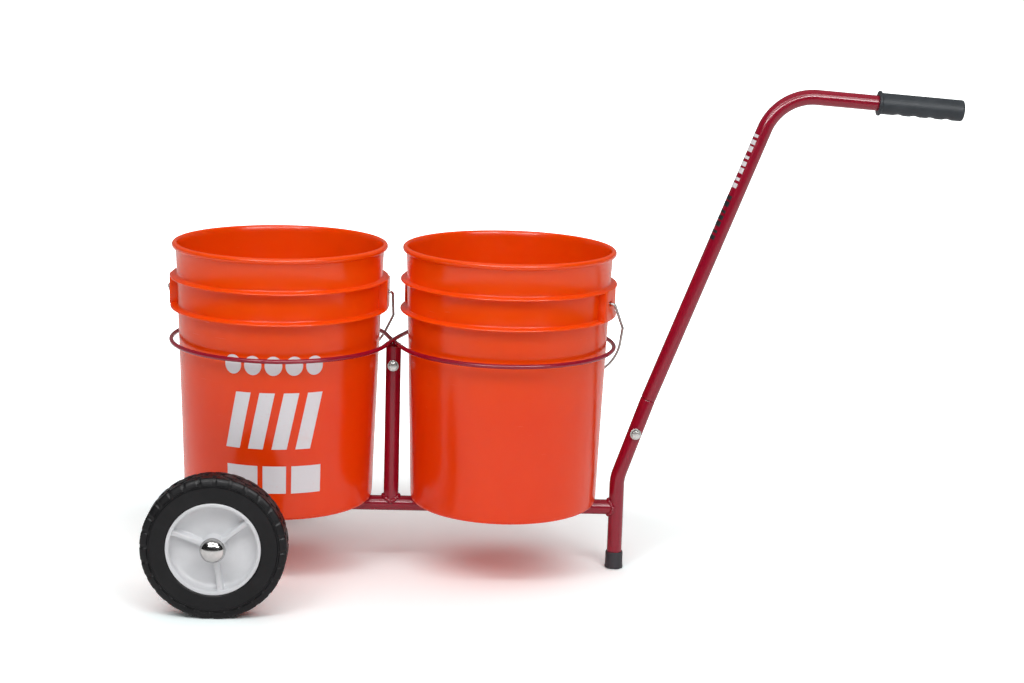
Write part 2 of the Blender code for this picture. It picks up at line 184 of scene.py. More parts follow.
def frames_along(path, closed=False):
    """(point, side, up) at each point, turned as little as possible from one to the next."""
    count = len(path)
    found = []
    up = None
    for i, point in enumerate(path):
        before = path[i - 1] if i or closed else point
        after = path[(i + 1) % count] if i < count - 1 or closed else point
        along = (after - before).normalized()
        if up is None:
            up = Vector((0, 0, 1)) if abs(along.z) < 0.9 else Vector((-1, 0, 0))
        up = (up - along * up.dot(along)).normalized()
        found.append((point, along.cross(up), up))
    return found


def ring_at(bm, point, side, up, radius, sides):
    """A ring of vertices round the point, in the plane of side and up."""
    ring = []
    for k in range(sides):
        a = 2 * math.pi * k / sides
        ring.append(bm.verts.new(point + (side * math.cos(a) + up * math.sin(a)) * radius))
    return ring


def sweep(name, path, radius, material, sides=28, closed=False, bore=0.0):
    """A round bar, or a tube if bore is its inner radius."""
    bm = bmesh.new()
    places = frames_along(path, closed)
    layers = []
    for r in [radius, bore] if bore else [radius]:
        rings = [ring_at(bm, *place, r, sides) for place in places]
        bridge(bm, rings, True, closed)
        layers.append(rings)
    if not closed:
        for end in (0, -1):
            if bore:
                bridge(bm, [layers[0][end], layers[1][end]])
            else:
                bm.faces.new(layers[0][end])
    return keep(name, bm, material)


def bead(name, path, radius, material, pitch=0.0022, closed=True):
    """A weld bead: a low rounded bar with the ripples of its puddles."""
    step = 0.00045
    bm = bmesh.new()
    rings = []
    for i, place in enumerate(frames_along(resampled(path, step, closed), closed)):
        ripple = 1 + 0.11 * math.sin(2 * math.pi * i * step / pitch) + 0.08 * math.sin(i * 0.17)
        rings.append(ring_at(bm, *place, radius * ripple, 12))
    bridge(bm, rings, True, closed)
    if not closed:
        bm.faces.new(rings[0])
        bm.faces.new(rings[-1])
    return keep(name, bm, material, 60)


def resampled(path, step, closed=False):
    """The path with points every step along it."""
    points = list(path) + ([path[0]] if closed else [])
    out, left = [], 0.0
    for a, b in zip(points, points[1:]):
        length = (b - a).length
        at = left
        while at < length:
            out.append(a.lerp(b, at / length))
            at += step
        left = at - length
    if not closed:
        out.append(points[-1])
    return out


def hex_prism(bm, radius, low, high, matrix):
    """A hexagon with chamfered corners, from low to high on the matrix's Z axis."""
    rings = []
    for limit, z in (
        (radius * 0.95, low), (radius, low + radius * 0.05), (radius, high - radius * 0.12),
        (radius * 0.93, high - radius * 0.03), (radius * 0.84, high),
    ):
        ring = []
        for k in range(48):
            angle = 2 * math.pi * k / 48
            flat = radius * math.cos(math.pi / 6) / math.cos(angle % (math.pi / 3) - math.pi / 6)
            r = min(limit, flat)
            ring.append(bm.verts.new(matrix @ Vector((r * math.cos(angle), r * math.sin(angle), z))))
        rings.append(ring)
    bridge(bm, rings)
    bm.faces.new(rings[0])
    bm.faces.new(rings[-1])


def turned_to(point, turn):
    """The matrix that puts local +Z along -Y (turn 1) or +Y (turn -1) at this point."""
    return Matrix.Translation(point) @ Matrix.Rotation(math.radians(90) * turn, 4, "X")


# ---------------------------------------------------------------- materials

def blank(name):
    made = bpy.data.materials.new(name)
    made.use_nodes = True
    return made, made.node_tree, made.node_tree.nodes["Principled BSDF"]


def feed(tree, socket, value):
    """Links value if it is a socket, or sets it."""
    if isinstance(value, bpy.types.NodeSocket):
        tree.links.new(value, socket)
    elif isinstance(value, tuple):
        socket.default_value = (*value, 1)[: len(socket.default_value)]
    else:
        socket.default_value = value


def coords(tree, stretch=(1, 1, 1)):
    where = tree.nodes.new("ShaderNodeTexCoord")
    mapping = tree.nodes.new("ShaderNodeMapping")
    mapping.inputs["Scale"].default_value = stretch
    tree.links.new(where.outputs["Object"], mapping.inputs["Vector"])
    return mapping.outputs["Vector"]


def noise(tree, scale, detail=4.0, stretch=(1, 1, 1), roughness=0.55):
    node = tree.nodes.new("ShaderNodeTexNoise")
    node.inputs["Scale"].default_value = scale
    node.inputs["Detail"].default_value = detail
    node.inputs["Roughness"].default_value = roughness
    tree.links.new(coords(tree, stretch), node.inputs["Vector"])
    return node.outputs["Fac"]


def cells(tree, scale):
    node = tree.nodes.new("ShaderNodeTexVoronoi")
    node.inputs["Scale"].default_value = scale
    tree.links.new(coords(tree), node.inputs["Vector"])
    return node.outputs["Color"]


def spread(tree, value, low, high, to_low=0.0, to_high=1.0):
    """value mapped from low..high to to_low..to_high, clamped."""
    node = tree.nodes.new("ShaderNodeMapRange")
    node.inputs["From Min"].default_value = low
    node.inputs["From Max"].default_value = high
    node.inputs["To Min"].default_value = to_low
    node.inputs["To Max"].default_value = to_high
    tree.links.new(value, node.inputs["Value"])
    return node.outputs["Result"]


def maths(tree, operation, a, b=0.0):
    node = tree.nodes.new("ShaderNodeMath")
    node.operation = operation
    feed(tree, node.inputs[0], a)
    feed(tree, node.inputs[1], b)
    return node.outputs[0]


def mix(tree, share, a, b):
    """Colour a turned into colour b by this share."""
    node = tree.nodes.new("ShaderNodeMix")
    node.data_type = "RGBA"
    feed(tree, node.inputs[0], share)
    feed(tree, node.inputs[6], a)
    feed(tree, node.inputs[7], b)
    return node.outputs[2]


def bump(tree, height, strength, distance, normal=None):
    node = tree.nodes.new("ShaderNodeBump")
    node.inputs["Strength"].default_value = strength
    node.inputs["Distance"].default_value = distance
    tree.links.new(height, node.inputs["Height"])
    if normal is not None:
        tree.links.new(normal, node.inputs["Normal"])
    return node.outputs["Normal"]


def geometry(tree, output):
    return tree.nodes.new("ShaderNodeNewGeometry").outputs[output]


def edges(tree, low=0.52, high=0.60):
    """1 along convex edges, 0 elsewhere, broken up by noise."""
    sharp = spread(tree, geometry(tree, "Pointiness"), low, high)
    return maths(tree, "MULTIPLY", sharp, spread(tree, noise(tree, 120), 0.35, 0.65, 0.3, 1.0))


def enamel():
    """Crimson gloss enamel: slight orange peel, deeper patches, dulled and lightened edges."""
    made, tree, shader = blank("crimson_enamel")
    patches = spread(tree, noise(tree, 14, 5), 0.3, 0.7)
    base = mix(tree, patches, (0.275, 0.0026, 0.0190), (0.315, 0.0036, 0.0240))
    specks = spread(tree, noise(tree, 420, 2), 0.70, 0.76)
    base = mix(tree, maths(tree, "MULTIPLY", specks, 0.35), base, (0.16, 0.003, 0.012))
    base = mix(tree, maths(tree, "MULTIPLY", edges(tree, 0.58, 0.72), 0.25), base, (0.36, 0.03, 0.05))
    feed(tree, shader.inputs["Base Color"], base)
    feed(tree, shader.inputs["Roughness"], spread(tree, noise(tree, 60, 6), 0.3, 0.7, 0.16, 0.26))
    feed(tree, shader.inputs["Specular IOR Level"], 0.35)
    feed(tree, shader.inputs["Coat Weight"], 0.35)
    feed(tree, shader.inputs["Coat Roughness"], spread(tree, noise(tree, 35), 0.3, 0.7, 0.03, 0.08))
    feed(tree, shader.inputs["Normal"], bump(tree, noise(tree, 90, 2), 0.06, 0.0006))
    return made


def moulded_orange():
    """Glossy orange plastic with painted shade, darker and redder low down and lighter near the top: flow
    streaks, fine grain, hair scratches, rubbed edges.
    """
    made, tree, shader = blank("orange_plastic")
    flow = spread(tree, noise(tree, 7, 5, (1, 1, 0.35)), 0.3, 0.7)
    # Painted shade: the low colour is a darker red and the high one a lighter orange, blended by height, so
    # the top of each bucket reads as more lit.
    low = mix(tree, flow, (0.830, 0.045, 0.0004), (0.880, 0.054, 0.0007))
    high = mix(tree, flow, (0.900, 0.067, 0.0004), (0.940, 0.077, 0.0007))
    split = tree.nodes.new("ShaderNodeSeparateXYZ")
    tree.links.new(coords(tree), split.inputs[0])
    base = mix(tree, spread(tree, split.outputs["Z"], 0.25, 0.38), low, high)
    hairs = spread(tree, noise(tree, 14, 3, (1, 1, 30), 0.7), 0.66, 0.72)
    marks = spread(tree, noise(tree, 9, 2), 0.48, 0.62)
    hairs = maths(tree, "MULTIPLY", hairs, marks)
    base = mix(tree, maths(tree, "MULTIPLY", hairs, 0.15), base, (0.92, 0.13, 0.02))
    base = mix(tree, maths(tree, "MULTIPLY", edges(tree, 0.54, 0.64), 0.22), base, (0.95, 0.14, 0.02))
    feed(tree, shader.inputs["Base Color"], base)
    rough = spread(tree, noise(tree, 40, 6), 0.3, 0.7, 0.15, 0.25)
    rough = maths(tree, "ADD", rough, maths(tree, "MULTIPLY", hairs, 0.1))
    feed(tree, shader.inputs["Roughness"], rough)
    feed(tree, shader.inputs["Specular IOR Level"], 0.36)
    feed(tree, shader.inputs["Subsurface Weight"], 0.20)
    feed(tree, shader.inputs["Subsurface Radius"], (1.0, 0.20, 0.06))
    feed(tree, shader.inputs["Subsurface Scale"], 0.006)
    grain = bump(tree, noise(tree, 900, 3), 0.08, 0.0003)
    feed(tree, shader.inputs["Normal"], bump(tree, noise(tree, 11, 2), 0.08, 0.004, grain))
    return made


def ink(name, colour, worn):
    """Printed ink, a little thin and rubbed."""
    made, tree, shader = blank(name)
    thin = spread(tree, noise(tree, 300, 5), 0.60, 0.74)
    rubbed = spread(tree, noise(tree, 26, 6), 0.60, 0.74)
    wear = maths(tree, "MULTIPLY", maths(tree, "MAXIMUM", thin, rubbed), 0.22)
    feed(tree, shader.inputs["Base Color"], mix(tree, wear, colour, worn))
    feed(tree, shader.inputs["Roughness"], spread(tree, noise(tree, 70), 0.3, 0.7, 0.38, 0.50))
    feed(tree, shader.inputs["Normal"], bump(tree, noise(tree, 900, 3), 0.10, 0.0003))
    return made


def white_hub():
    """White wheel plastic: slightly cool, with painted shade darkening its hollows, soft moulding grain."""
    made, tree, shader = blank("white_plastic")
    base = mix(tree, spread(tree, noise(tree, 30, 5), 0.3, 0.7), (0.64, 0.65, 0.67), (0.71, 0.72, 0.74))
    # Painted shade: concave places, found by low pointiness, are darkened towards grey.
    hollows = spread(tree, geometry(tree, "Pointiness"), 0.49, 0.40)
    base = mix(tree, maths(tree, "MULTIPLY", hollows, 0.30), base, (0.50, 0.49, 0.48))
    specks = spread(tree, noise(tree, 260, 3), 0.67, 0.73)
    base = mix(tree, maths(tree, "MULTIPLY", specks, 0.18), base, (0.45, 0.43, 0.40))
    feed(tree, shader.inputs["Base Color"], base)
    feed(tree, shader.inputs["Roughness"], spread(tree, noise(tree, 50, 5), 0.3, 0.7, 0.30, 0.44))
    feed(tree, shader.inputs["Normal"], bump(tree, noise(tree, 700, 3), 0.10, 0.0003))
    return made


def rubber(name, dark, light, dust, rough, grain=800, shine=0.40):
    """Black rubber: mottled, dusty in patches, with a fine skin and paler rubbed edges."""
    made, tree, shader = blank(name)
    base = mix(tree, spread(tree, noise(tree, 45, 6), 0.3, 0.7), dark, light)
    dusty = spread(tree, noise(tree, 16, 6, (1, 1, 1), 0.65), 0.50, 0.72)
    base = mix(tree, maths(tree, "MULTIPLY", dusty, dust), base, (0.10, 0.095, 0.095))
    base = mix(tree, maths(tree, "MULTIPLY", edges(tree, 0.54, 0.64), 0.25), base, (0.06, 0.06, 0.063))
    feed(tree, shader.inputs["Base Color"], base)
    satin = spread(tree, noise(tree, 90, 5), 0.3, 0.7, rough - 0.07, rough + 0.07)
    feed(tree, shader.inputs["Roughness"], satin)
    feed(tree, shader.inputs["Specular IOR Level"], shine)
    feed(tree, shader.inputs["Normal"], bump(tree, noise(tree, grain, 4), 0.22, 0.0004))
    return made


def metal(name, tint, rough, stretch=(1, 1, 1), spangle=0.0):
    """Bare metal with fine lines or zinc spangle, duller spots, brighter edges, and painted shade darkening
    its crevices.
    """
    made, tree, shader = blank(name)
    dull = tuple(0.72 * part for part in tint)
    share = spread(tree, noise(tree, 60, 6, stretch), 0.35, 0.70)
    base = mix(tree, share, tint, dull)
    if spangle:
        flakes = spread(tree, cells(tree, 420), 0.2, 0.9)
        base = mix(tree, maths(tree, "MULTIPLY", flakes, spangle), base, dull)
    base = mix(tree, maths(tree, "MULTIPLY", edges(tree), 0.4), base, (0.86, 0.86, 0.85))
    # Painted shade: the base colour is darkened towards near black where ambient occlusion finds crevices.
    painted_crevice_shade = tree.nodes.new("ShaderNodeAmbientOcclusion")
    painted_crevice_shade.inputs["Distance"].default_value = 0.0035
    share = spread(tree, painted_crevice_shade.outputs["AO"], 0.35, 0.95, 0.85, 0.0)
    feed(tree, shader.inputs["Base Color"], mix(tree, share, base, tuple(0.10 * part for part in tint)))
    feed(tree, shader.inputs["Metallic"], 1.0)
    lines = noise(tree, 420, 3, stretch)
    feed(tree, shader.inputs["Roughness"], spread(tree, lines, 0.3, 0.7, rough * 0.8, rough * 1.25))
    feed(tree, shader.inputs["Normal"], bump(tree, lines, 0.05, 0.0002))
    return made


def studio_floor():
    """A pale floor: burnt out to white away from the cart for the camera, dimmer in front for reflections."""
    made, tree, shader = blank("studio_floor")
    tone = mix(tree, spread(tree, noise(tree, 1.5, 3), 0.3, 0.7), (0.92, 0.92, 0.92), (0.95, 0.95, 0.95))
    split = tree.nodes.new("ShaderNodeSeparateXYZ")
    tree.links.new(geometry(tree, "Position"), split.inputs[0])
    near = spread(tree, split.outputs["Y"], -1.9, -0.8)
    lit = mix(tree, near, (0.16, 0.16, 0.16), tone)
    ray = tree.nodes.new("ShaderNodeLightPath").outputs["Is Camera Ray"]
    feed(tree, shader.inputs["Base Color"], mix(tree, ray, lit, (1.11, 1.20, 1.20)))
    feed(tree, shader.inputs["Roughness"], 0.85)
    feed(tree, shader.inputs["Specular IOR Level"], 0.0)
    aside = maths(tree, "MULTIPLY", maths(tree, "SUBTRACT", split.outputs["X"], POST_X), 0.62)
    along = maths(tree, "POWER", split.outputs["Y"], 2.0)
    off = maths(tree, "SQRT", maths(tree, "ADD", maths(tree, "POWER", aside, 2.0), along))
    glow = spread(tree, off, 0.34, 0.80)
    feed(tree, shader.inputs["Emission Color"], (1.0, 1.0, 1.0))
    feed(tree, shader.inputs["Emission Strength"], maths(tree, "MULTIPLY", glow, ray))
    return made


# ---------------------------------------------------------------- frame

def saddle_curve(x):
    """Where an upright tube meets the top of the spine, flatter than the true saddle, as a weld fills it."""
    path = []
    for k in range(96):
        a = 2 * math.pi * k / 96
        y = TUBE_R * math.sin(a) * 0.985
        rise = 0.42 * TUBE_R + 0.62 * math.sqrt(TUBE_R ** 2 - y ** 2)
        path.append(Vector((x + TUBE_R * math.cos(a), y, SPINE_Z + rise)))
    return path


def build_tubes(red):
    start, end = Vector((AXLE.x - 0.0140, 0, SPINE_Z)), Vector((LEG_X - TUBE_R * 0.4, 0, SPINE_Z))
    spine = sweep("spine", [start, end], TUBE_R, red, 64, bore=TUBE_BORE)
    finish_piece(spine, "frame", "frame_enamel", "spine_tube")
    start, end = Vector((POST_X, 0, SPINE_Z)), Vector((POST_X, 0, POST_TOP))
    post = sweep("post", [start, end], TUBE_R, red, 64, bore=TUBE_BORE)
    finish_piece(post, "frame", "frame_enamel", "centre_post")
    low, r = POST_TOP - 0.006, 0.0088
    outline = [(0, low), (r, low), (r, low + 0.0030), (r - 0.0008, low + 0.0038), (0, low + 0.0040)]
    plug = lathe("post_plug", outline, 48, red, Matrix.Translation((POST_X, 0, 0)))
    finish_piece(plug, "frame", "frame_enamel", "hoop_plug")
    low = Vector((LEG_X, 0, 0.0046))
    leg_path = filleted([(low, 0), (LEG_CORNER, LEG_BEND), (SEAM, 0)], 40)
    finish_piece(tube_with_lip("leg", leg_path, red), "frame", "frame_enamel", "leg_tube")
    handle_path = filleted(
        [
            (SEAM + SLOPE * 0.0006, 0), (TOP_CORNER, TOP_BEND),
            (TOP_CORNER + RUN * (GRIP_END - 0.0080), 0),
        ], 48,
    )
    finish_piece(tube_with_lip("handle", handle_path, red), "frame", "frame_enamel", "handle_tube")


def tube_with_lip(name, path, red):
    """A bent tube whose ends are eased, so that a seam shows as a fine dark line."""
    first, last = path[0], path[-1]
    start, end = (path[1] - first).normalized(), (path[-2] - last).normalized()
    eased = [first, first + start * 0.0006, first + start * 0.0012]
    eased += path[1:-1]
    eased += [last + end * 0.0012, last + end * 0.0006, last]
    bm = bmesh.new()
    layers = []
    for r, ease in ((TUBE_R, (0.0006, 0.0001, 0)), (TUBE_BORE, (0, 0, 0))):
        rings = []
        for i, place in enumerate(frames_along(eased)):
            near = min(i, len(eased) - 1 - i, 2)
            rings.append(ring_at(bm, *place, r - ease[near], 64))
        bridge(bm, rings)
        layers.append(rings)
    for end in (0, -1):
        bridge(bm, [layers[0][end], layers[1][end]])
    return keep(name, bm, red)


def hoop_path():
    """One rod bent to a figure of eight that crosses itself on top of the post."""
    swing = math.acos(HOOP_R / HOOP_DX)
    path = []
    for side in (-1, 1):
        curve = []
        for i in range(121):
            angle = swing + (2 * math.pi - 2 * swing) * i / 120
            x, y = HOOP_R * math.cos(angle) - HOOP_DX, HOOP_R * math.sin(angle)
            curve.append(Vector((-side * x, y, 0)))
        shares = [i / 24 for i in range(24)]
        path += [beside_crossing(curve[0], share, side) for share in shares]
        path += curve
        path += [beside_crossing(curve[-1], share, -side) for share in reversed(shares[1:])]
    return [Vector((POST_X, 0, HOOP_Z)) + point for point in path]


def beside_crossing(tangent, share, rise):
    """A point this share of the way from the crossing to a hoop's tangent point."""
    return tangent * share + Vector((0, 0, rise * HOOP_CROSS * (1 - share ** 3)))


def build_hoop(red):
    hoop = sweep("hoop", hoop_path(), HOOP_ROD, red, 24, closed=True)
    finish_piece(hoop, "frame", "frame_enamel", "hoop_rod")


def build_welds(red):
    """Beads under the paint where the tubes meet, and where the hoop sits on the post."""
    post = bead("weld_post", saddle_curve(POST_X), 0.0030, red, 0.0034)
    finish_piece(post, "frame", "frame_enamel")
    ring = []
    for k in range(96):
        a = 2 * math.pi * k / 96
        y, z = TUBE_R * math.cos(a) * 0.985, TUBE_R * math.sin(a)
        reach = 0.34 * TUBE_R + 0.70 * math.sqrt(TUBE_R ** 2 - y ** 2)
        ring.append(Vector((LEG_X - reach, y, SPINE_Z + z)))
    finish_piece(bead("weld_leg", ring, 0.0028, red, 0.0034), "frame", "frame_enamel")
    bm = bmesh.new()
    for dx, dy in ((-0.0070, -0.0025), (0.0070, -0.0025), (-0.0070, 0.0025), (0.0070, 0.0025)):
        blob(bm, (POST_X + dx, dy, POST_TOP + 0.0018), (0.0034, 0.0030, 0.0022))
    blob(bm, (POST_X, 0, POST_TOP), (0.0092, 0.0092, 0.0030), 32, 16)
    finish_piece(keep("weld_hoop", bm, red), "frame", "frame_enamel")
    for side, word in ((-1, "left"), (1, "right")):
        bm = bmesh.new()
        blob(bm, (AXLE.x, side * (TUBE_R - 0.0014), AXLE.z - 0.0030), (0.0075, 0.0028, 0.0034))
        finish_piece(keep(f"weld_axle_{word}", bm, red), "frame", "frame_enamel")


def blob(bm, centre, size, around=20, upward=12):
    """A rounded lump of weld with these half sizes."""
    place = Matrix.Translation(centre) @ Matrix.Diagonal((*size, 1))
    bmesh.ops.create_uvsphere(bm, u_segments=around, v_segments=upward, radius=1.0, matrix=place)


def build_bolt(prefix, place, lean, steel):
    """A hex bolt and washer on the -Y side, its nut on the +Y side."""
    side = Matrix.Translation((place.x, 0, place.z)) @ Matrix.Rotation(lean, 4, "Y")
    side = side @ Matrix.Rotation(math.radians(90), 4, "X")
    face = TUBE_R + 0.0001
    bm = bmesh.new()
    hex_prism(bm, 0.0060, face + 0.0014, face + 0.0058, side)
    lathe_into(bm, [(0, -0.0188), (0.0029, -0.0188), (0.0029, face), (0, face)], 32, side)
    finish_piece(keep(f"{prefix}_bolt_head", bm, steel), "frame", "zinc_steel", f"{prefix}_bolt")
    outline = [(0.0036, face), (0.0080, face), (0.0080, face + 0.0014), (0.0036, face + 0.0014)]
    ring = rounded(outline, 0.0004)
    washer = lathe(f"{prefix}_bolt_washer", ring, 64, steel, side)
    finish_piece(washer, "frame", "zinc_steel", f"{prefix}_washer")
    bm = bmesh.new()
    hex_prism(bm, 0.0060, -face - 0.0049, -face, side)
    finish_piece(keep(f"{prefix}_bolt_nut", bm, steel), "frame", "zinc_steel", f"{prefix}_nut")


def build_spigot(steel):
    path = [LEG_CORNER + STUB * SPIGOT_START, SEAM, SEAM + SLOPE * SPIGOT_REACH]
    spigot = sweep("spigot", path, TUBE_R - 0.0022, steel, 48, bore=TUBE_R - 0.0040)
    finish_piece(spigot, "frame", "zinc_steel", "handle_spigot")


def build_foot(black):
    r = 0.0127
    outer = [
        (0, 0), (r - 0.0016, 0), (r + 0.0004, 0.0008), (r + 0.0006, 0.0026), (r + 0.0002, 0.0050),
        (r, 0.0100), (r - 0.0002, 0.0230), (r - 0.0006, 0.0246), (r - 0.0014, 0.0250),
    ]
    inner = [(TUBE_R + 0.0002, 0.0246), (TUBE_R + 0.0002, 0.0040), (0, 0.0040)]
    foot = lathe("foot", outer + inner, 72, black, Matrix.Translation((LEG_X, 0, 0)))
    finish_piece(foot, "frame", "black_rubber", "foot_cap")


def build_grip(slate):
    """The handle's sleeve: a thin flange at its inner end, four shallow finger hollows, a blunt end."""
    r, flange, start = GRIP_R, GRIP_FLANGE, GRIP_START
    stations = [
        (start, TUBE_R + 0.0003), (start, flange - 0.0008), (start + 0.0003, flange - 0.0002),
        (start + 0.0008, flange), (start + 0.0026, flange), (start + 0.0032, flange - 0.0003),
        (start + 0.0036, flange - 0.0010), (start + 0.0040, r + 0.0003), (start + 0.0050, r),
    ]
    first, last, body = start + 0.0060, GRIP_END - 0.0040, 110
    stations += [(first + (last - first) * i / body, r) for i in range(body + 1)]
    for degrees in range(0, 91, 10):
        turn = math.radians(degrees)
        stations.append((GRIP_END - 0.0030 + 0.0030 * math.sin(turn), r - 0.0030 * (1 - math.cos(turn))))
    across = Vector((0, 1, 0))
    down = RUN.cross(across)
    down = down if down.z < 0 else -down
    bm = bmesh.new()
    rings = [grip_ring(bm, reach, radius, down, across) for reach, radius in stations]
    bridge(bm, rings)
    inner = grip_ring(bm, start + 0.02, TUBE_R + 0.0001, down, across)
    bridge(bm, [inner, rings[0]])
    bm.faces.new(inner)
    bm.faces.new(rings[-1])
    finish_piece(keep("grip", bm, slate), "frame", "grip_rubber", "handle_grip")


def grip_ring(bm, reach, radius, down, across):
    """A ring of the sleeve this far along the top run, pressed in beneath where a finger goes."""
    hollow = finger_hollow(reach) if radius > GRIP_R - 0.002 else 0.0
    ring = []
    for k in range(72):
        a = 2 * math.pi * k / 72
        local = radius - hollow * max(0.0, math.cos(a)) ** 2
        spot = TOP_CORNER + RUN * reach + (down * math.cos(a) + across * math.sin(a)) * local
        ring.append(bm.verts.new(spot))
    return ring


def finger_hollow(reach):
    """How far the underside is pressed in at this distance along the top run."""
    for i in range(4):
        share = (reach - GRIP_START - SCOOP_FIRST - SCOOP_PITCH * i) / SCOOP_HALF
        if abs(share) < 1:
            return SCOOP_DEPTH * math.cos(share * math.pi / 2) ** 1.5
    return 0.0


def build_axle(steel):
    half, r = AXLE_END - 0.0004, 0.00475
    shaft = rounded([(0, -half), (r, -half), (r, half), (0, half)], 0.0008)
    axle = lathe("axle", shaft, 40, steel, turned_to((AXLE.x, 0, AXLE.z), 1))
    finish_piece(axle, "frame", "zinc_steel", "axle_rod")
    for side, word in ((-1, "left"), (1, "right")):
        place = turned_to((AXLE.x, 0, AXLE.z), -side)
        for node in ("axle_collar", "inner_washer", "outer_washer"):
            low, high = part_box(f"{node}_{word}")
            radius = (high.z - low.z) / 2
            near, far = sorted((abs(low.y), abs(high.y)))
            ring = rounded([(0.0051, near), (radius, near), (radius, far), (0.0051, far)], 0.0005)
            piece = lathe(f"{node}_ring_{word}", ring, 56, steel, place)
            finish_piece(piece, "frame", "zinc_steel", f"{node}_{word}")


def build_axle_caps(chrome):
    """Pressed dome caps on the axle ends, each with a small rolled brim."""
    for side, word in ((-1, "left"), (1, "right")):
        base = WHEEL_Y + HUB_HALF + 0.0016
        dome = [(0.0164 * x, base + 0.0030 + 0.0105 * z) for x, z in arc(0, 0, 1.0, 0, 90, 18)]
        brim = [(0.0160, base), (0.0170, base + 0.0004), (0.0172, base + 0.0014)]
        brim.append((0.0169, base + 0.0024))
        profile = [(0.0052, base), *brim, *dome, (0, AXLE_END), (0.0052, AXLE_END)]
        cap = lathe(f"cap_{word}", profile, 96, chrome, turned_to((AXLE.x, 0, AXLE.z), -side))
        finish_piece(cap, "frame", "cap_chrome", f"axle_cap_{word}")


def build_dashes(dark, pale):
    """Plain dashes up the handle's wheel-side face: dark ones below, pale ones above."""
    runs = (("dark", 0.486, 0.552, 7, dark), ("pale", 0.560, 0.642, 8, pale))
    for word, low, high, count, material in runs:
        first, last = ((z - SEAM.z) / math.cos(HANDLE_LEAN) for z in (low, high))
        step = (last - first) / count
        for i in range(count):
            length = step * (0.62, 0.40, 0.74)[i % 3]
            start = first + step * i
            strip(f"handle_dash_{word}_{i + 1}", start, length, material)


def strip(name, start, length, material):
    """A thin patch on the handle, from start along it, wrapped from its wheel side towards -Y."""
    first, last, radius = math.radians(-35), math.radians(58), TUBE_R + 0.00012
    out = Vector((-math.cos(HANDLE_LEAN), 0, math.sin(HANDLE_LEAN)))
    across = Vector((0, -1, 0))
    bm = bmesh.new()
    grid = []
    for i in range(5):
        row = []
        for k in range(21):
            a = first + (last - first) * k / 20
            spot = SEAM + SLOPE * (start + length * i / 4)
            row.append(bm.verts.new(spot + (out * math.cos(a) + across * math.sin(a)) * radius))
        grid.append(row)
    bridge(bm, grid, False)
    finish_piece(keep(name, bm, material), "frame", "frame_enamel")


# ---------------------------------------------------------------- wheels

def tyre_flank(notch):
    """(radius, width) from the outer bead to the tread's edge. notch, 0 to 1, sinks a gap between blocks."""
    w, r, lip = TYRE_HALF, TYRE_R, HUB_LIP_R
    sink = 0.0012 * notch
    return [
        (lip - 0.0050, w - 0.0040), (lip - 0.0002, w - 0.0024), (lip + 0.0006, w - 0.0010),
        (lip + 0.0016, w - 0.0002), (lip + 0.0034, w), (r - 0.0128, w), (r - 0.0120, w - 0.0014),
        (r - 0.0104, w - 0.0016), (r - 0.0094, w - 0.0002 - sink * 0.7), (r - 0.0050, w - 0.0010 - sink),
        (r - 0.0022, w - 0.0022 - sink), (r - 0.0008 - sink * 0.4, w - 0.0034 - sink * 0.6),
        (r - 0.0002 - sink * 0.5, w - 0.0046),
    ]


def build_tyre(side, word, material):
    """Smooth sidewalls, shoulder blocks, and a tread of staggered blocks in three rows."""
    place = turned_to((AXLE.x, side * WHEEL_Y, AXLE.z), -side)
    blocks, per_block, across = 28, 20, 44
    bm = bmesh.new()
    rings = []
    for k in range(blocks * per_block):
        angle = 2 * math.pi * k / (blocks * per_block)
        turn = Vector((math.cos(angle), math.sin(angle), 0))
        near, far = (tyre_flank(1 - block_face(k / per_block + shift)) for shift in (0.1, -0.1))
        points = list(near)
        edge = near[-1][1]
        for i in range(1, across):
            z = edge * (1 - 2 * i / across)
            points.append((TYRE_R - 0.0002 - tread_groove(k / per_block, z), z))
        points += [(r, -z) for r, z in reversed(far)]
        rings.append([bm.verts.new(place @ (turn * r + Vector((0, 0, z)))) for r, z in points])
    bridge(bm, rings, True, True)
    tyre = keep(f"tyre_tread_{word}", bm, material, 50)
    finish_piece(tyre, f"wheel_{word}", "tyre_rubber", f"tyre_{word}")


def block_face(turn):
    """1 on a block, 0 in the gap between two, at this count of blocks round the tyre."""
    phase = turn % 1.0
    return min(max((min(phase, 1.0 - phase) - 0.09) / 0.05, 0.0), 1.0)


def tread_groove(turn, z):
    """The groove depth at this place: turn counts blocks round the tyre, z is across it."""
    row = 0.0062
    depth = 0.0016 - 0.0010 * min(1.0, max(0.0, (abs(z) - row) / 0.008))
    ring = min(abs(abs(z) - row) / 0.0011, 1.0)
    shift = 0.5 if abs(z) < row else 0.1 * math.copysign(1, z) * min(1.0, abs(z) / TYRE_HALF)
    return depth * (1 - min(ring, block_face(turn + shift)))


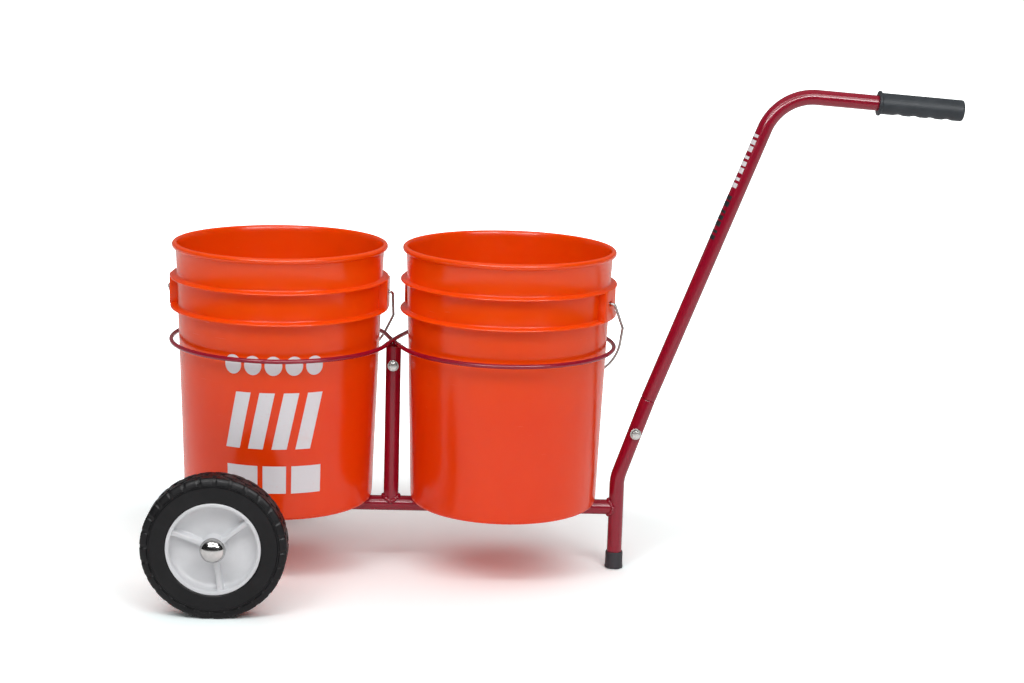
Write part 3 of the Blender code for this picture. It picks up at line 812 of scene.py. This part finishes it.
def build_hub(side, word, material):
    """A dished white hub: rolled lip, deep barrel, web, boss, and three ribs with soft feet."""
    place = turned_to((AXLE.x, side * WHEEL_Y, AXLE.z), -side)
    lip, h = HUB_LIP_R, HUB_HALF
    face = [
        (lip - 0.0052, 0.0105), (lip - 0.0050, h - 0.0016), (lip - 0.0044, h - 0.0004),
        (lip - 0.0034, h), (lip - 0.0010, h), (lip - 0.0002, h - 0.0005), (lip, h - 0.0014),
        (lip - 0.0008, h - 0.0026), (lip - 0.0052, h - 0.0034),
    ]
    web = [
        (0.0156, 0.0165), (0.0162, 0.0150), (0.0168, 0.0070), (0.0180, 0.0050), (0.0200, 0.0042),
        (0.0380, 0.0036), (lip - 0.0120, 0.0042), (lip - 0.0080, 0.0054), (lip - 0.0060, 0.0078),
    ]
    boss = [(0.0051, h), (0.0140, h), (0.0152, h - 0.0012)]
    outer = boss + web + face
    profile = outer + [(r, -z) for r, z in reversed(outer)]
    bm = bmesh.new()
    lathe_into(bm, profile, 144, place)
    for angle in RIB_ANGLES:
        hub_rib(bm, place @ Matrix.Rotation(angle, 4, "Z"))
    finish_piece(keep(f"hub_shell_{word}", bm, material), f"wheel_{word}", "hub_plastic", f"hub_{word}")


def hub_rib(bm, place):
    """A rib from the boss to the barrel, on both faces, with a rounded crest and flared feet."""
    first, last, top = 0.0140, HUB_LIP_R - 0.0050, 0.0150
    rings = []
    count = 40
    for i in range(count + 1):
        share = i / count
        x = first + (last - first) * share
        end = min(share, 1 - share)
        flare = 0.0014 * math.exp(-end * 14)
        crest = top - 0.0022 * math.sin(math.pi * share)
        half, foot = 0.0034 + flare, 0.0062 + 2 * flare
        section = [
            (foot, 0.0034), (half + 0.0010, 0.0046), (half + 0.0003, 0.0066), (half, crest - 0.0020),
            (half - 0.0004, crest - 0.0008), (half - 0.0012, crest - 0.0001), (half - 0.0018, crest),
        ]
        loop = section + [(-y, z) for y, z in reversed(section)]
        loop += [(-y, -z) for y, z in section] + [(y, -z) for y, z in reversed(section)]
        rings.append([bm.verts.new(place @ Vector((x, y, z))) for y, z in loop])
    bridge(bm, rings)
    bm.faces.new(rings[0])
    bm.faces.new(rings[-1])


# ---------------------------------------------------------------- buckets and bails

def bucket_wall(z):
    """The outer radius of the tapered wall at this height above the base."""
    return 0.1336 + 0.0112 * (z - 0.0025) / 0.3375


def collar_rib(low):
    """A thin rib with a rounded upper edge and a flat underside, from its top down."""
    wall = bucket_wall(low)
    return [
        (wall, low + 0.0050), (wall + 0.0006, low + 0.0038), (wall + 0.0018, low + 0.0031),
        (0.1515, low + 0.0028), (0.1527, low + 0.0023), (0.1533, low + 0.0014), (0.1533, low + 0.0006),
        (0.1528, low), (wall + 0.0008, low), (wall, low - 0.0008),
    ]


def bucket_profile():
    h = BUCKET_H
    bead_z = h - 0.0043
    rim = arc(0.1467, bead_z, 0.0043, 100, -90, 18)
    outer = [*rim, (bucket_wall(h) + 0.0006, h - 0.0086), (bucket_wall(h), h - 0.0096)]
    outer += collar_rib(0.3184) + collar_rib(0.2762)
    outer += [
        (bucket_wall(0.26), 0.26), (bucket_wall(0.14), 0.14), (0.1338, 0.0085), (0.1334, 0.0040),
        (0.1324, 0.0012), (0.1308, 0), (0.1288, 0), (0.1278, 0.0010), (0.1270, 0.0046), (0, 0.0050),
    ]
    inner = [
        (0, 0.0076), (0.1230, 0.0076), (0.1278, 0.0088), (0.1304, 0.0125), (0.1318, 0.0250),
        (bucket_wall(0.26) - 0.0020, 0.26), (bucket_wall(0.33) - 0.0020, 0.33),
        (bucket_wall(h) - 0.0022, h - 0.0100), (bucket_wall(h) - 0.0018, h - 0.0030),
        (bucket_wall(h) - 0.0006, h - 0.0006),
    ]
    return inner + outer


def build_bucket(word, place, material):
    bm = bmesh.new()
    lathe_into(bm, bucket_profile(), 224, place)
    for hand in (0, 1):
        build_ear(bm, place @ Matrix.Rotation(math.pi * hand, 4, "Z"))
    shell = keep(f"{word}_bucket_shell", bm, material)
    finish_piece(shell, f"{word}_bucket_body", "bucket_plastic", f"{word}_bucket")


def build_ear(bm, place):
    """The moulded block between the ribs that holds the bail, with a small mouth for the wire."""
    part = bmesh.new()
    ys = (-EAR_W / 2, -0.0050, 0.0050, EAR_W / 2)
    zs = (0.2772, EAR_Z - 0.0036, EAR_Z + 0.0036, 0.3206)
    face = [[part.verts.new((EAR_FACE, y, z)) for y in ys] for z in zs]
    back = [part.verts.new((0.1400, ys[i], zs[k])) for i, k in ((0, 0), (3, 0), (3, 3), (0, 3))]
    deep = EAR_FACE - 0.0045
    floor = [part.verts.new((deep, ys[i], zs[k])) for i, k in ((1, 1), (2, 1), (2, 2), (1, 2))]
    mouth = [face[1][1], face[1][2], face[2][2], face[2][1]]
    for k in range(3):
        for i in range(3):
            if (i, k) != (1, 1):
                part.faces.new((face[k][i], face[k][i + 1], face[k + 1][i + 1], face[k + 1][i]))
    bridge(part, [mouth, floor])
    part.faces.new(floor)
    part.faces.new(back)
    part.faces.new([*face[0], back[1], back[0]])
    part.faces.new([*reversed(face[3]), back[3], back[2]])
    part.faces.new([*[row[0] for row in face], back[3], back[0]])
    part.faces.new([*[row[3] for row in face], back[2], back[1]])
    bmesh.ops.recalc_face_normals(part, faces=part.faces)
    sharp = [e for e in part.edges if len(e.link_faces) == 2 and e.calc_face_angle(0) > 0.5]
    bmesh.ops.bevel(part, geom=sharp, offset=0.0008, segments=3, profile=0.5, affect="EDGES")
    bmesh.ops.transform(part, verts=part.verts, matrix=place)
    mesh = bpy.data.meshes.new("part")
    part.to_mesh(mesh)
    part.free()
    bm.from_mesh(mesh)
    bpy.data.meshes.remove(mesh)


def bail_bow(u):
    """The bow's point this far to the side of the middle."""
    return u, BAIL_B * math.sqrt(1 - (u / BAIL_A) ** 2)


def bail_path():
    """One bail in its own XY plane: X along the ears, Y out to the grip, straight through the grip."""
    first, last = math.acos((BAIL_GRIP_LEN / 2 + 0.003) / BAIL_A), math.asin(BAIL_HIP / BAIL_B)
    half = []
    for i in range(60):
        angle = first + (last - first) * i / 60
        half.append(Vector((BAIL_A * math.cos(angle), BAIL_B * math.sin(angle), 0)))
    half += filleted(
        [
            ((BAIL_A * math.cos(last), BAIL_HIP, 0), 0), ((BAIL_KNEE_X, BAIL_KNEE, 0), 0.008),
            ((BAIL_REACH, 0, 0), 0.005), ((BAIL_END, 0, 0), 0),
        ], 12,
    )
    return [Vector((-p.x, p.y, 0)) for p in reversed(half)] + half


def build_bail(word, place, wire, grip):
    pivot = place @ Matrix.Translation((0, 0, EAR_Z)) @ Matrix.Rotation(-BAIL_REST, 4, "X")
    path = [pivot @ point for point in bail_path()]
    piece = sweep(f"{word}_bail_wire", path, BAIL_R, wire, 24)
    finish_piece(piece, f"{word}_bail_body", "bail_wire", f"{word}_bail")
    half = BAIL_GRIP_LEN / 2
    profile = [(0.0022, -half), (0.0088, -half), (0.0100, -half + 0.0008), (0.0105, -half + 0.0022)]
    ridges = 9
    step = (2 * half - 0.016) / ridges
    for i in range(ridges):
        low = -half + 0.008 + step * i
        profile += [(0.0105, low + step * 0.30), (0.0097, low + step * 0.42),
                    (0.0097, low + step * 0.68), (0.0105, low + step * 0.80)]
    profile += [(0.0105, half - 0.0022), (0.0100, half - 0.0008), (0.0088, half), (0.0022, half)]
    centre = Vector((0, bail_bow(half + 0.003)[1], 0))
    spot = pivot @ Matrix.Translation(centre) @ Matrix.Rotation(math.radians(90), 4, "Y")
    sleeve = lathe(f"{word}_bail_sleeve", profile, 56, grip, spot)
    finish_piece(sleeve, f"{word}_bail_body", "bail_grip_plastic", f"{word}_bail_grip")


def wall_patch(name, place, outline, material, body):
    """A printed patch on the bucket's wall. outline gives (angle from the front, height) points round it."""
    bm = bmesh.new()
    verts = [bm.verts.new((angle, level, 0)) for angle, level in outline]
    bm.faces.new(verts)
    bmesh.ops.triangulate(bm, faces=bm.faces)
    for _ in range(3):
        long_edges = [e for e in bm.edges if e.calc_length() > 0.05]
        if not long_edges:
            break
        bmesh.ops.subdivide_edges(bm, edges=long_edges, cuts=1)
        bmesh.ops.triangulate(bm, faces=bm.faces)
    for vert in bm.verts:
        angle, level = vert.co.x, vert.co.y
        r = bucket_wall(level) + 0.00015
        vert.co = place @ Vector((r * math.sin(angle), -r * math.cos(angle), level))
    finish_piece(keep(name, bm, material), body, "bucket_plastic")


def build_mark(place, material):
    """A plain geometric mark on the front of the wheel-side bucket: discs, slanted bars, a broken band."""
    body = "axle_bucket_body"
    middle_angle = math.radians(1.4)
    for i in range(5):
        angle = middle_angle + math.radians(-23.0 + 11.5 * i)
        outline = [
            (angle + math.radians(4.9) * math.cos(a), 0.2195 + 0.0135 * math.sin(a))
            for a in (2 * math.pi * k / 40 for k in range(40))
        ]
        wall_patch(f"mark_disc_{i + 1}", place, outline, material, body)
    for i in range(4):
        centre = middle_angle + math.radians(-20.4 + 13.6 * i)
        outline = slab(centre, math.radians(4.3), math.radians(3.4), 0.1020, 0.1815)
        wall_patch(f"mark_bar_{i + 1}", place, outline, material, body)
    for i, (first, last) in enumerate(((-27.5, -9.0), (-6.0, 7.5), (10.5, 28.0))):
        centre = middle_angle + math.radians((first + last) / 2)
        outline = slab(centre, math.radians((last - first) / 2), 0.0, 0.0390, 0.0780)
        wall_patch(f"mark_band_{i + 1}", place, outline, material, body)


def slab(centre, half, lean, low, high):
    """A slanted four-sided outline in (angle, height), with points along its long edges."""
    shares = [i / 8 for i in range(9)]
    left = [(centre - half - lean + 2 * lean * t, low + (high - low) * t) for t in shares]
    right = [(angle + 2 * half, level) for angle, level in reversed(left)]
    return left + right


# ---------------------------------------------------------------- studio

def build_studio():
    bm = bmesh.new()
    bmesh.ops.create_grid(bm, x_segments=1, y_segments=1, size=14.0)
    floor = keep("studio_floor", bm, studio_floor())
    build_room()
    soft_box("key_right", (1.15, -2.50, 2.25), (0.10, 0.0, 0.40), 1.3, 0.9, 20)
    glint = soft_box("glint", (0.25, -2.65, 1.75), (0.10, 0.0, 0.50), 4.4, 0.42, 105)
    glint.visible_diffuse = False
    soft_box("key_left", (-1.45, -1.75, 2.35), (-0.15, 0.0, 0.25), 1.2, 0.9, 14)
    soft_box("front_strip", (0.10, -1.72, 2.72), (0.10, 0.0, 0.25), 3.0, 0.36, 25)
    fill = soft_box("front_fill", (-0.60, -2.45, 2.05), (-0.15, 0.0, 0.25), 2.6, 1.4, 5)
    fill.visible_glossy = False


def build_room():
    """White where the camera sees it. For reflections: dark in front, lit behind and overhead."""
    world = bpy.data.worlds.new("studio")
    bpy.context.scene.world = world
    world.use_nodes = True
    tree = world.node_tree
    tree.nodes.clear()
    out = tree.nodes.new("ShaderNodeOutputWorld")
    shade = tree.nodes.new("ShaderNodeBackground")
    tree.links.new(shade.outputs[0], out.inputs[0])
    where = tree.nodes.new("ShaderNodeTexCoord")
    split = tree.nodes.new("ShaderNodeSeparateXYZ")
    tree.links.new(where.outputs["Generated"], split.inputs[0])
    backdrop = spread(tree, split.outputs["Y"], 0.0, 0.40, 0.04, 0.60)
    overhead = spread(tree, split.outputs["Z"], 0.60, 0.85, 0.04, 1.15)
    ray = tree.nodes.new("ShaderNodeLightPath")
    mirrored = spread(tree, ray.outputs["Is Glossy Ray"], 0.0, 1.0, 1.0, 0.32)
    room = maths(tree, "MULTIPLY", maths(tree, "MAXIMUM", backdrop, overhead), mirrored)
    feed(tree, shade.inputs["Color"], mix(tree, ray.outputs["Is Camera Ray"], room, (1.1, 1.1, 1.1)))


def soft_box(name, place, target, width, depth, power):
    data = bpy.data.lights.new(name, "AREA")
    data.shape = "RECTANGLE"
    data.size, data.size_y = width, depth
    data.energy = power
    obj = bpy.data.objects.new(name, data)
    obj.location = place
    obj.rotation_mode = "QUATERNION"
    obj.rotation_quaternion = (Vector(target) - Vector(place)).to_track_quat("-Z", "Y")
    bpy.context.scene.collection.objects.link(obj)
    return obj


def build_camera():
    """Looks along +Y, a little down and a little to the right, from in front of the buckets."""
    yaw, pitch, roll = math.radians(2.104), math.radians(10.896), math.radians(1.728)
    ahead = Vector((math.sin(yaw) * math.cos(pitch), math.cos(yaw) * math.cos(pitch), -math.sin(pitch)))
    level = Vector((math.cos(yaw), -math.sin(yaw), 0))
    above = level.cross(ahead)
    right = level * math.cos(roll) + above * math.sin(roll)
    up = above * math.cos(roll) - level * math.sin(roll)
    data = bpy.data.cameras.new("view")
    data.sensor_width = 36.0
    data.lens = 68.31
    data.shift_x, data.shift_y = -0.0013, -0.0415
    camera = bpy.data.objects.new("view", data)
    turn = Matrix((right, up, -ahead)).transposed().to_4x4()
    camera.matrix_world = Matrix.Translation((POST_X + 0.0689, -2.7075, 0.9164)) @ turn
    bpy.context.scene.collection.objects.link(camera)
    bpy.context.scene.camera = camera


def main():
    red, orange, white = enamel(), moulded_orange(), white_hub()
    slate = rubber("slate_grip", (0.036, 0.042, 0.048), (0.048, 0.055, 0.063), 0.08, 0.46, 600, 0.22)
    steel = metal("zinc_plate", (0.72, 0.72, 0.70), 0.27, spangle=0.30)
    chrome = metal("bright_chrome", (0.66, 0.65, 0.64), 0.14)
    wire = metal("drawn_wire", (0.46, 0.44, 0.42), 0.26)
    black = rubber("black_rubber", (0.028, 0.027, 0.034), (0.038, 0.036, 0.045), 0.12, 0.50)
    coal, soot = (0.0030, 0.0030, 0.0038), (0.0055, 0.0055, 0.0068)
    tread = rubber("tyre_rubber", coal, soot, 0.05, 0.42, shine=0.26)
    sleeve = rubber("bail_sleeve", (0.016, 0.016, 0.017), (0.024, 0.024, 0.026), 0.08, 0.45)
    pale = ink("pale_ink", (0.78, 0.76, 0.79), (0.80, 0.36, 0.28))
    dark = ink("dark_ink", (0.012, 0.011, 0.014), (0.06, 0.01, 0.016))

    build_tubes(red)
    build_hoop(red)
    build_welds(red)
    build_bolt("hoop", HOOP_BOLT, 0.0, steel)
    build_bolt("handle", HANDLE_BOLT, STUB_LEAN, steel)
    build_spigot(steel)
    build_foot(black)
    build_grip(slate)
    build_dashes(dark, pale)
    build_axle(steel)
    build_axle_caps(chrome)
    for side, word in ((-1, "left"), (1, "right")):
        build_tyre(side, word, tread)
        build_hub(side, word, white)
    for word, spot, turn in (
        ("axle", POST_X - BUCKET_DX, AXLE_TURN), ("handle", POST_X + BUCKET_DX, HANDLE_TURN),
    ):
        base = Matrix.Translation((spot, 0, BUCKET_BASE))
        place = base @ Matrix.Rotation(turn, 4, "Z")
        build_bucket(word, place, orange)
        build_bail(word, place, wire, sleeve)
        if word == "axle":
            build_mark(base, pale)
    build_studio()
    build_camera()
    bpy.context.scene.view_settings.view_transform = "Standard"


main()
